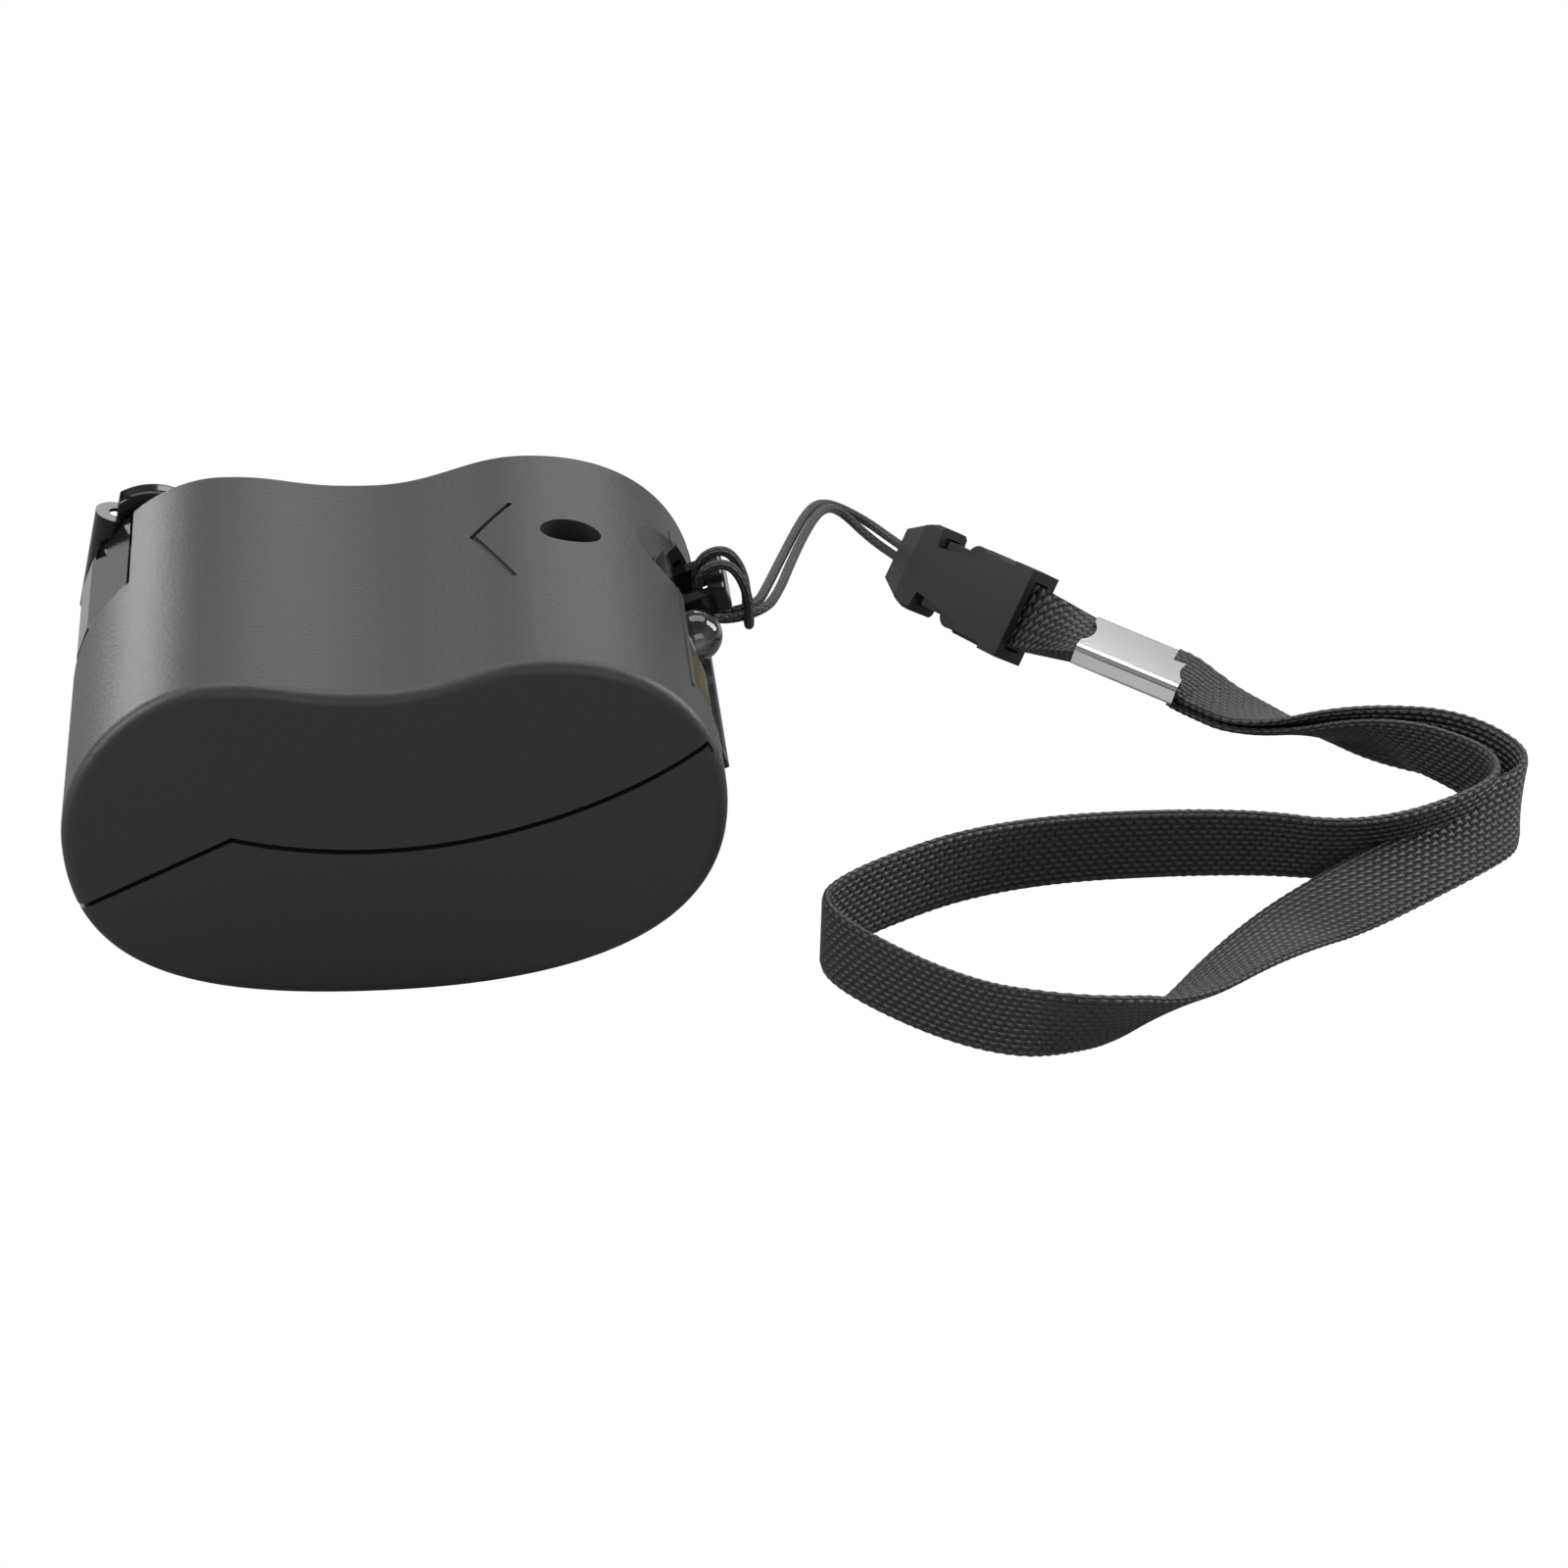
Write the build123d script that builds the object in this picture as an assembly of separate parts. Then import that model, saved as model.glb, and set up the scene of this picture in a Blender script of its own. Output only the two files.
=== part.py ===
from build123d import *
import math
import os

os.makedirs("parts", exist_ok=True)

# ------------------------------------------------------------------ driving sizes, mm
# The part is drawn with the bean's lowest point at Z = 0 and its two flat faces at +-DEPTH / 2,
# then moved by ORIGIN so that Z up runs through the middle of the box round the rigid part.
DEPTH = 43.0          # between the two flat bean-shaped faces, along Y
WALL = 1.8            # moulded wall
LIP = 0.9             # half the wall: the locating lip inside the parting line
EDGE_R = 1.2          # rounding of the two flat faces' edges
SEAM_GAP = 0.5        # shadow gap left outside the lip
LIP_RISE = 1.2        # how far the lower shell's lip stands into the upper shell
REST = 0.3            # clearance between pieces that move past each other
RUN = 0.05            # radial running clearance of a pin in its bore

# bean outline: nodes (x, z) and the lengths of their level or upright handles
LEFT, CREST_L, DIP = (-29.64, 17.15), (-15.2, 32.64), (-0.65, 31.14)
CREST_R, RIGHT, BOTTOM = (13.36, 33.66), (30.07, 18.33), (-1.03, 0.0)
H_LEFT_UP, H_CREST_L_IN, H_CREST_L_OUT, H_DIP_IN = 8.38, 7.12, 5.95, 7.78
H_DIP_OUT, H_CREST_R_IN, H_CREST_R_OUT, H_RIGHT_UP = 6.05, 5.25, 10.93, 8.78
H_RIGHT_DOWN, H_BOTTOM_IN, H_BOTTOM_OUT, H_LEFT_DOWN = 13.98, 16.72, 16.72, 14.11

# parting line on the flat faces
SEAM_START, SEAM_KINK = (-28.1, 10.65), (-14.5, 16.9)
SEAM_END, SEAM_STEP = (28.25, 24.6), (29.1, 22.9)

# notch that takes the folded knob
NOTCH_X, NOTCH_Y, NOTCH_WALL = -23.6, 5.75, 1.5

# oval light hole and engraved chevron in the top
HOLE_AT, HOLE_X, HOLE_Y = (17.5, 5.0), 5.7, 4.5
CHEVRON_TIP, CHEVRON_FAR, CHEVRON_NEAR = (8.4, 5.3), (12.0, 10.4), (11.9, -4.0)
CHEVRON_W, CHEVRON_DEEP = 0.5, 0.35

# end panel: its own plane leans back from upright
PANEL_AT, PANEL_LEAN = (29.0, 0.0, 23.3), 20.0
FRAME_Y, FRAME_TOP, FRAME_LOW, FRAME_BAR, FRAME_DEEP = 15.2, 4.7, -4.8, 0.95, 4.0
PANEL_FACE, PANEL_T, PANEL_TONGUE = -1.0, 1.6, 0.55
SCOOP_Y, SCOOP_R, SCOOP_OUT = 8.4, 6.5, 4.15

# crank
HUB = (6.0, 15.6)             # crank axis (x, z)
HINGE = (-26.5, 22.9)         # knob hinge (x, z)
HINGE_Y = 23.4
END_DISC, END_DISC_R = (-22.1, 24.3), 6.2
ARM_T, HUB_R = 3.1, 7.0
KNOB_FRONT, KNOB_BACK, TONGUE_R, TONGUE_HALF = 6.6, 20.9, 2.1, 2.6
HINGE_PIN_R = 0.8
SHAFT_R, BUSH_R = 2.0, 3.2

# gear train
MODULE, PRESSURE, BACKLASH = 0.5, 20.0, 0.09
T_CRANK, T_FIRST_IN, T_FIRST_OUT = 48, 12, 46
T_SECOND_IN, T_SECOND_OUT, T_MOTOR = 14, 30, 10
FIRST_ANGLE, MOTOR_ANGLE = 180.0, 186.0
LAYER_A, LAYER_B, LAYER_C = (15.6, 18.6), (12.3, 15.2), (8.7, 11.7)
PLATE_Y, PLATE_T = 5.9, 1.6
PIN_R = 1.0

# generator
CAN_R, CAN_LEN, CAN_T, END_CAP_T = 12.0, 18.0, 1.0, 2.2
MOTOR_SHAFT_R, ROTOR_R, MAGNET_T = 1.0, 8.6, 2.0

# socket, lamp and board, placed in the end panel's plane (y, up the slope)
USB_AT, USB_W, USB_H, USB_LEN, USB_T = (-7.2, -0.1), 13.1, 5.7, 14.0, 0.3
LAMP_AT, LAMP_R = (2.0, 0.0), 2.5
BOARD_T, BOARD_Y, BOARD_N = 1.6, (-14.6, 5.4), (-18.6, -4.2)
EYE_Y, EYE_LEG, EYE_BAR, EYE_OUT, EYE_V = (4.7, 12.3), 1.5, 1.7, 3.9, (0.0, 2.2)

# housing screws (x, y, top of the shank)
SCREWS = ((-20.5, -15.6, 24.0), (21.0, 12.4, 25.5), (9.5, -17.4, 25.0))
PILLAR_R, SCREW_R, SCREW_HEAD_R, SCREW_HEAD_T = 2.7, 1.0, 1.9, 1.3

# lanyard: buckle, crimp and webbing stand on edge on the table
CORD_D = 0.95
BUCKLE_FROM, BUCKLE_DIR, BUCKLE_ROLL, BUCKLE_Z = (54.3, 51.0), (0.59, -0.807), 34.0, 5.4
BUCKLE_L, BUCKLE_W, BUCKLE_END_W, BUCKLE_T, PLUG_L = 18.6, 9.4, 5.6, 4.2, 2.6
CRIMP_FROM, CRIMP_TO, CRIMP_ROLL = (70.4, 29.85, 5.92), (80.0, 25.15, 3.2), 97.0
CRIMP_W, CRIMP_T, CRIMP_WALL, CRIMP_HOLD = 8.9, 2.3, 0.28, 2.0
STRAP_W, STRAP_T, STRAP_STEPS = 7.55, 0.8, 5

ORIGIN = (1.44, 2.0, 0.0)


# ------------------------------------------------------------------ helpers
def slab(sketch, y_low, y_high):
    """Extrude a sketch drawn as (x, z) between two Y planes."""
    plane = Plane(origin=(0, y_high, 0), x_dir=(1, 0, 0), z_dir=(0, -1, 0))
    return extrude(plane * sketch, amount=y_high - y_low)


def rod(at, radius, y_low, y_high):
    """Round bar along Y at (x, z)."""
    return slab(Pos(*at) * Circle(radius), y_low, y_high)


def turn(at, angle, reach):
    """Point at a distance and an angle (degrees) from another."""
    return (at[0] + reach * math.cos(math.radians(angle)), at[1] + reach * math.sin(math.radians(angle)))


def block(x, y, z):
    """Box from three (low, high) pairs."""
    size = [high - low for low, high in (x, y, z)]
    return Pos(*[(low + high) / 2 for low, high in (x, y, z)]) * Box(*size)


LEAN = math.radians(PANEL_LEAN)
PANEL = Plane(origin=PANEL_AT, x_dir=(0, 1, 0), z_dir=(math.cos(LEAN), 0, math.sin(LEAN)))


def on_panel(y, v, n):
    """Box in the end panel's frame: along Y, up the slope, outward."""
    return PANEL * block(y, v, n)


# ------------------------------------------------------------------ outlines
def bean(grow=0.0):
    """The bean outline as a sketch in (x, z), grown or shrunk by an offset."""
    nodes = (
        (LEFT, (0, H_LEFT_UP), (-H_CREST_L_IN, 0), CREST_L),
        (CREST_L, (H_CREST_L_OUT, 0), (-H_DIP_IN, 0), DIP),
        (DIP, (H_DIP_OUT, 0), (-H_CREST_R_IN, 0), CREST_R),
        (CREST_R, (H_CREST_R_OUT, 0), (0, H_RIGHT_UP), RIGHT),
        (RIGHT, (0, -H_RIGHT_DOWN), (H_BOTTOM_IN, 0), BOTTOM),
        (BOTTOM, (-H_BOTTOM_OUT, 0), (0, -H_LEFT_DOWN), LEFT),
    )
    edges = []
    for a, out, back, b in [[Vector(*pair) for pair in node] for node in nodes]:
        start, start_handle = moved_end(a, out, b + back, out.normalized(), grow)
        finish, finish_handle = moved_end(b, back, a + out, -back.normalized(), grow)
        edges.append(Bezier(start, start + start_handle, finish + finish_handle, finish))
    return make_face(Wire(edges))


def moved_end(node, handle, far_handle, travel, grow):
    """One end of a curve moved off the outline, its handle stretched by the curvature there."""
    outward = Vector(-travel.Y, travel.X)
    bend = 2 / 3 * outward.dot(node - far_handle) / handle.length ** 2
    return node + outward * grow, handle * (1 + grow * bend)


def above_seam(lift):
    """Everything above the parting line, lifted by some amount."""
    slope = (SEAM_KINK[1] - SEAM_START[1]) / (SEAM_KINK[0] - SEAM_START[0])
    far_left = (-40.0, SEAM_KINK[1] + slope * (-40.0 - SEAM_KINK[0]))
    curve = Spline(SEAM_KINK, (0.0, 15.05), (6.0, 15.6), (18.0, 18.9), (26.0, 23.0), SEAM_END)
    rest = Polyline(
        SEAM_END, SEAM_STEP, (45.0, SEAM_STEP[1]), (45.0, 60.0), (-40.0, 60.0), far_left, SEAM_KINK
    )
    return Pos(0, lift) * make_face(Wire([curve, *rest.edges()]))


def notch(grow=0.0):
    """Room for the folded knob in the rear left corner, and below it for its way round the hub."""
    edge, depth = NOTCH_X + grow, (NOTCH_Y - grow, 40)
    below = block((-40, -12), depth, (-20, HUB[1])) - rod(HUB, HUB[0] - edge, -40, 60)
    return block((-40, edge), depth, (HUB[1], 60)) + below


# ------------------------------------------------------------------ housing
def housing():
    """Both shells with the seam's lip, notch, window, pillars, boss, light hole and chevron."""
    half = DEPTH / 2
    outer = slab(bean(), -half, half)
    outer = fillet(outer.faces().filter_by(Axis.Y).edges(), EDGE_R)
    outer -= notch()
    middle = slab(bean(-LIP), LIP - half, half - LIP) - notch(LIP)
    cavity = slab(bean(-WALL), WALL - half, half - WALL) - notch(NOTCH_WALL)

    frame = on_panel((-FRAME_Y, FRAME_Y), (FRAME_LOW, FRAME_TOP), (-FRAME_DEEP, 0.0))
    window_y, window_v = FRAME_Y - FRAME_BAR, (FRAME_LOW + FRAME_BAR, FRAME_TOP - FRAME_BAR)
    window = on_panel((-window_y, window_y), window_v, (-12, 3))
    groove = end_panel_blank()
    scoop = PANEL * Pos(SCOOP_Y, 5.5, SCOOP_OUT) * Rot(90, 0, 0) * Cylinder(SCOOP_R, 8.0)

    tube = Pos(*HOLE_AT, 28.5) * Cylinder(3.5, 9.0)
    boss = rod(HUB, 5.0, LAYER_A[1] + REST, half - WALL)
    rib = block((16.6, 18.2), (-12, 3), (0, 30)) - on_panel((-30, 30), (board_low(), 40), (-40, 20))
    inside = boss + rib + tube + sum_of(pillar(x, y) for x, y, _ in SCREWS)
    hollow = cavity - frame - inside
    core = middle - frame

    body = outer + frame
    seam = slab(above_seam(0), -40, 40)
    lifted = slab(above_seam(LIP_RISE), -40, 40)
    upper = (body & slab(above_seam(SEAM_GAP), -40, 40)) - (core - lifted) - hollow
    lower = (body - seam) + ((core & seam) - lifted) - hollow

    holes = [window, groove, scoop, rod(HUB, BUSH_R, LAYER_A[1], 30)]
    holes.append(rod(first_axis(), PIN_R, half - WALL - 1, half - WALL + 0.9))
    for x, y, top in SCREWS:
        holes.append(Pos(x, y, top / 2) * Cylinder(SCREW_R, top))
        holes.append(Pos(x, y, seat_z(x) / 2 - 5) * Cylinder(SCREW_HEAD_R + RUN, seat_z(x) + 10))
    for hole in holes:
        upper -= hole
        lower -= hole
    return upper - light_hole() - chevron(outer), lower


def sum_of(solids):
    """Fuse a run of solids."""
    total = None
    for solid in solids:
        total = solid if total is None else total + solid
    return total


def seat_z(x):
    """Height of a housing screw's seat above the bean's underside at x."""
    return 4.4 + 0.013 * (x - BOTTOM[0]) ** 2


def pillar(x, y):
    """Round pillar right through the housing for one screw."""
    return Pos(x, y, 20) * Cylinder(PILLAR_R, 60)


def light_hole():
    """Oval hole above the indicator, and the bore that holds it."""
    oval = extrude(Pos(*HOLE_AT, 29.0) * Ellipse(HOLE_X / 2, HOLE_Y / 2), amount=8)
    return oval + Pos(*HOLE_AT, 28) * Cylinder(1.5, 12)


def chevron(outer):
    """Two shallow engraved strokes that follow the curved top."""
    strokes = None
    for tip in (CHEVRON_FAR, CHEVRON_NEAR):
        dx, dy = tip[0] - CHEVRON_TIP[0], tip[1] - CHEVRON_TIP[1]
        middle = (CHEVRON_TIP[0] + dx / 2, CHEVRON_TIP[1] + dy / 2)
        stroke = Pos(*middle, 32) * Rot(0, 0, math.degrees(math.atan2(dy, dx)))
        stroke = stroke * Box(math.hypot(dx, dy) + CHEVRON_W, CHEVRON_W, 12)
        strokes = stroke if strokes is None else strokes + stroke
    return strokes - slab(bean(-CHEVRON_DEEP), -20, 20)


def end_panel_blank():
    """Plate that both shells' grooves clamp."""
    reach = FRAME_Y - FRAME_BAR + PANEL_TONGUE
    v = (FRAME_LOW + FRAME_BAR - PANEL_TONGUE, FRAME_TOP - FRAME_BAR + PANEL_TONGUE)
    return on_panel((-reach, reach), v, (PANEL_FACE - PANEL_T, PANEL_FACE))


def end_panel():
    """Plate with the socket's cut-out, the lamp's hole and the eye's two slots."""
    y, v = USB_AT
    plate = end_panel_blank()
    plate -= on_panel((y - USB_W / 2, y + USB_W / 2), (v - USB_H / 2, v + USB_H / 2), (-9, 3))
    plate -= PANEL * Pos(*LAMP_AT) * Cylinder(LAMP_R, 12)
    return plate - lanyard_eye()


def lanyard_eye():
    """Staple that the cord is hitched to, rooted through the panel."""
    (near, far), low = EYE_Y, PANEL_FACE - PANEL_T
    staple = block((near, far), EYE_V, (EYE_OUT - EYE_BAR, EYE_OUT))
    for leg in (near, far - EYE_LEG):
        staple += block((leg, leg + EYE_LEG), EYE_V, (low, EYE_OUT - EYE_BAR))
    return PANEL * fillet(staple.edges().group_by(Axis.Z)[-1], 0.4)


# ------------------------------------------------------------------ gears
def gear(teeth, at, phase, layer, bore):
    """Spur gear with involute flanks; phase is the angle of one tooth's middle."""
    pitch = MODULE * teeth / 2
    base = pitch * math.cos(math.radians(PRESSURE))
    tip, root = pitch + 0.85 * MODULE, pitch - 1.15 * MODULE
    slip = math.tan(math.radians(PRESSURE)) - math.radians(PRESSURE)
    half = math.pi / (2 * teeth) - BACKLASH / (2 * MODULE * teeth)
    points = []
    for tooth in range(teeth):
        middle = math.radians(phase) + tooth * math.tau / teeth
        start = max(base, root)
        flank = [(root, half + slip)]
        for step in range(4):
            radius = start + (tip - start) * step / 3
            across = math.acos(min(1.0, base / radius))
            flank.append((radius, half + slip - (math.tan(across) - across)))
        if start <= root:
            flank = flank[1:]
        low = [(r, middle - a) for r, a in flank]
        high = [(r, middle + a) for r, a in reversed(flank)]
        points += [(at[0] + r * math.cos(a), at[1] + r * math.sin(a)) for r, a in low + high]
    outline = make_face(Polyline(*points, close=True))
    return slab(outline, *layer) - rod(at, bore, layer[0] - 1, layer[1] + 1)


def centres(a, b):
    """Distance between the axes of two meshed gears."""
    return MODULE * (a + b) / 2


def first_axis():
    return turn(HUB, FIRST_ANGLE, centres(T_CRANK, T_FIRST_IN))


def motor_axis():
    return turn(HUB, MOTOR_ANGLE, centres(T_SECOND_OUT, T_MOTOR))


def crank_gear():
    wheel = gear(T_CRANK, HUB, FIRST_ANGLE, LAYER_A, SHAFT_R)
    hub = rod(HUB, BUSH_R + 0.6, LAYER_A[1], LAYER_A[1] + REST - RUN) - rod(HUB, SHAFT_R, 0, 30)
    for step in range(5):
        wheel -= rod(turn(HUB, 36 + 72 * step, 7.2), 2.3, 0, 30)
    return wheel + hub


def first_idler():
    at, back = first_axis(), FIRST_ANGLE - 180
    pinion = gear(T_FIRST_IN, at, back + 180 / T_FIRST_IN, (LAYER_B[1], LAYER_A[1]), PIN_R + RUN)
    wheel = gear(T_FIRST_OUT, at, back, LAYER_B, PIN_R + RUN)
    for step in range(5):
        wheel -= rod(turn(at, 36 + 72 * step, 7.0), 2.2, 0, 30)
    return wheel + pinion


def second_idler():
    pinion = gear(T_SECOND_IN, HUB, 180 + 180 / T_SECOND_IN, (LAYER_C[1], LAYER_B[1]), PIN_R + RUN)
    wheel = gear(T_SECOND_OUT, HUB, MOTOR_ANGLE, LAYER_C, PIN_R + RUN)
    return wheel + pinion


def motor_pinion():
    facing = MOTOR_ANGLE - 180
    return gear(T_MOTOR, motor_axis(), facing + 180 / T_MOTOR, LAYER_C, MOTOR_SHAFT_R)


def gear_plate():
    """Bulkhead that both shells hold all round; it carries the pins and the generator."""
    half = DEPTH / 2
    top = PLATE_Y + PLATE_T
    plate = slab(bean(-WALL), PLATE_Y, top) - notch(NOTCH_WALL) - block((13.4, 40), (-40, 40), (-5, 60))
    plate += rod(HUB, 2.2, top, LAYER_C[0] - 0.1)
    plate -= rod(HUB, PIN_R, 0, half) + rod(first_axis(), PIN_R, 0, half)
    plate -= rod(motor_axis(), 3.0, 0, half)
    for angle in (60, 240):
        plate -= rod(turn(motor_axis(), angle, 8.0), SCREW_R, 0, half)
    return plate


# ------------------------------------------------------------------ crank
def arm_frame():
    """Plane at the knob's hinge: x towards the hub, y along the hinge pin, z along -Y."""
    reach = math.hypot(HUB[0] - HINGE[0], HUB[1] - HINGE[1])
    inward = ((HUB[0] - HINGE[0]) / reach, 0, (HUB[1] - HINGE[1]) / reach)
    return Plane(origin=(HINGE[0], HINGE_Y, HINGE[1]), x_dir=inward, z_dir=(0, -1, 0))


def crank_arm():
    """Arm with a hub disc, a dished end disc and two lugs for the knob."""
    front = DEPTH / 2 + REST
    back = front + ARM_T
    angle = math.degrees(math.atan2(END_DISC[1] - HUB[1], END_DISC[0] - HUB[0]))
    reach = math.hypot(END_DISC[0] - HUB[0], END_DISC[1] - HUB[1])
    strip = Polyline((0, 5.2), (reach, 4.2), (reach, -4.2), (0, -5.2), close=True)
    arm = slab(Pos(*HUB) * Rot(0, 0, angle) * make_face(strip), front, back)
    disc = rod(END_DISC, END_DISC_R, front, back)
    disc = fillet(disc.edges().filter_by(GeomType.CIRCLE), 1.0)
    hub = fillet(rod(HUB, HUB_R, front, back).edges().filter_by(GeomType.CIRCLE), 0.8)
    arm = arm + disc + hub
    arm -= slab(Pos(*HUB) * Rot(0, 0, angle) * Pos(reach / 2, 0) * SlotOverall(13, 4.4), back - 0.7, 40)
    dish = rod(END_DISC, END_DISC_R - 1.5, front - 1, front + 0.5)
    at = arm_frame()
    lugs = at * Rot(90, 0, 0) * Cylinder(TONGUE_R, 2 * (TONGUE_HALF + 2.6))
    lugs += at * block((0, 4.5), (-TONGUE_HALF - 2.6, TONGUE_HALF + 2.6), (-1.4, 1.5))
    arm -= dish + at * block((-9, 0), (-9, 9), (-9, 9))
    arm += lugs
    slot = at * block((-9, TONGUE_R + REST), (-TONGUE_HALF - RUN, TONGUE_HALF + RUN), (-9, 9))
    arm -= slot + at * Rot(90, 0, 0) * Cylinder(HINGE_PIN_R, 30)
    screw = rod(HUB, 3.0, back - 1.2, 40)
    return arm - rod(HUB, SHAFT_R, 20, 40) - screw


def crank_knob():
    """Faceted grip that fills the notch, with the tongue that turns on the hinge pin."""
    x = NOTCH_X - REST
    facets = Polyline(
        (x, 28.9), (-27.9, 24.15), (-29.1, 21.1), (-29.35, 17.65), (x, 17.65), close=True
    )
    grip = slab(make_face(facets), KNOB_FRONT, KNOB_BACK)
    grip = chamfer(grip.faces().sort_by(Axis.Y)[0].edges(), 0.5)
    at = arm_frame()
    tongue = at * Rot(90, 0, 0) * Cylinder(TONGUE_R, 2 * TONGUE_HALF)
    tongue += at * block((-1.4, 1.8), (-TONGUE_HALF, TONGUE_HALF), (0, HINGE_Y - KNOB_BACK + 0.8))
    return grip + tongue - at * Rot(90, 0, 0) * Cylinder(HINGE_PIN_R + RUN, 30)


def hinge_pin():
    return arm_frame() * Rot(90, 0, 0) * Cylinder(HINGE_PIN_R, 2 * (TONGUE_HALF + 2.4))


def crank_shaft():
    shaft = rod(HUB, SHAFT_R, LAYER_A[0], DEPTH / 2 + REST + ARM_T - 1.2)
    return shaft - rod(HUB, PIN_R + RUN, 0, LAYER_A[0] + 1.6)


def hub_screw():
    seat = DEPTH / 2 + REST + ARM_T - 1.2
    head = fillet(rod(HUB, 3.0, seat, seat + 1.6).edges().sort_by(Axis.Y)[-1], 0.5)
    cross = slab(Pos(*HUB) * (Rectangle(3.2, 0.6) + Rectangle(0.6, 3.2)), seat + 0.9, 40)
    return head - cross


def crank_bush():
    ring = rod(HUB, BUSH_R, LAYER_A[1] + REST, DEPTH / 2 + REST / 2)
    return ring - rod(HUB, SHAFT_R + RUN, 0, 40)


# ------------------------------------------------------------------ generator
def motor_parts():
    """Can, magnets, armature, commutator, shaft, end cap, tabs and the two fixing screws."""
    at, front = motor_axis(), PLATE_Y - CAN_LEN
    can = fillet(rod(at, CAN_R, front, PLATE_Y).edges().sort_by(Axis.Y)[-1], 1.0)
    can -= rod(at, CAN_R - CAN_T, front - 1, PLATE_Y - CAN_T)
    can += rod(at, 3.0, PLATE_Y - CAN_T, PLATE_Y + 1.2)
    can -= rod(at, MOTOR_SHAFT_R + RUN, 0, 20)
    outer, inner = CAN_R - CAN_T, CAN_R - CAN_T - MAGNET_T
    magnets = rod(at, outer, front + 4, PLATE_Y - 3) - rod(at, inner, front, 20)
    magnets -= slab(Pos(*at) * Rectangle(4.5, 60), -40, 40)
    armature = rod(at, ROTOR_R, front + 5, PLATE_Y - 4) - rod(at, MOTOR_SHAFT_R, -40, 40)
    for step in range(3):
        armature -= slab(Pos(*turn(at, 90 + 120 * step, 6.2)) * Rot(0, 0, 120 * step) * Rectangle(3.4, 5.2), -40, 40)
    commutator = rod(at, 2.6, front + 1.6, front + 4.6) - rod(at, MOTOR_SHAFT_R, -40, 40)
    shaft = rod(at, MOTOR_SHAFT_R, front - END_CAP_T + 0.6, LAYER_C[1] + 0.3)
    cap = rod(at, CAN_R - CAN_T, front - END_CAP_T + 1.2, front + 1.2)
    cap -= rod(at, MOTOR_SHAFT_R + RUN, -40, 40)
    tabs = None
    for side in (-1, 1):
        x = at[0] + side * 6.5
        slot = block((x - 0.25, x + 0.25), (front - END_CAP_T - 0.8, front + 3.4), (at[1] - 1.2, at[1] + 1.2))
        brush = block((x - 0.25 if side < 0 else at[0] + 2.65, at[0] - 2.65 if side < 0 else x + 0.25),
                      (front + 2.6, front + 3.4), (at[1] - 0.8, at[1] + 0.8))
        tabs = slot + brush if tabs is None else tabs + slot + brush
        cap -= slot
    screws = None
    for angle in (60, 240):
        spot = turn(at, angle, 8.0)
        screw = rod(spot, SCREW_R, PLATE_Y - CAN_T, PLATE_Y + PLATE_T)
        screw += rod(spot, 1.7, PLATE_Y + PLATE_T, LAYER_C[0] - 0.2)
        screws = screw if screws is None else screws + screw
        can -= rod(spot, SCREW_R, 0, 20)
    return {
        "motor_can": can, "motor_magnets": magnets, "motor_armature": armature,
        "motor_commutator": commutator, "motor_shaft": shaft, "motor_end_cap": cap,
        "motor_brushes": tabs, "motor_screws": screws,
    }


def idler_pins():
    """Two steel pins pressed in the gear plate: one steadies the crank's shaft."""
    first = rod(first_axis(), PIN_R, PLATE_Y, DEPTH / 2 - WALL + 0.9)
    return rod(HUB, PIN_R, PLATE_Y, LAYER_A[0] + 1.5), first


def idler_spacer():
    ring = rod(first_axis(), 1.9, PLATE_Y + PLATE_T, LAYER_B[0] - 0.1)
    return ring - rod(first_axis(), PIN_R, 0, 30)


# ------------------------------------------------------------------ electronics
def board_low():
    return USB_AT[1] - USB_H / 2 - BOARD_T


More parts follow.
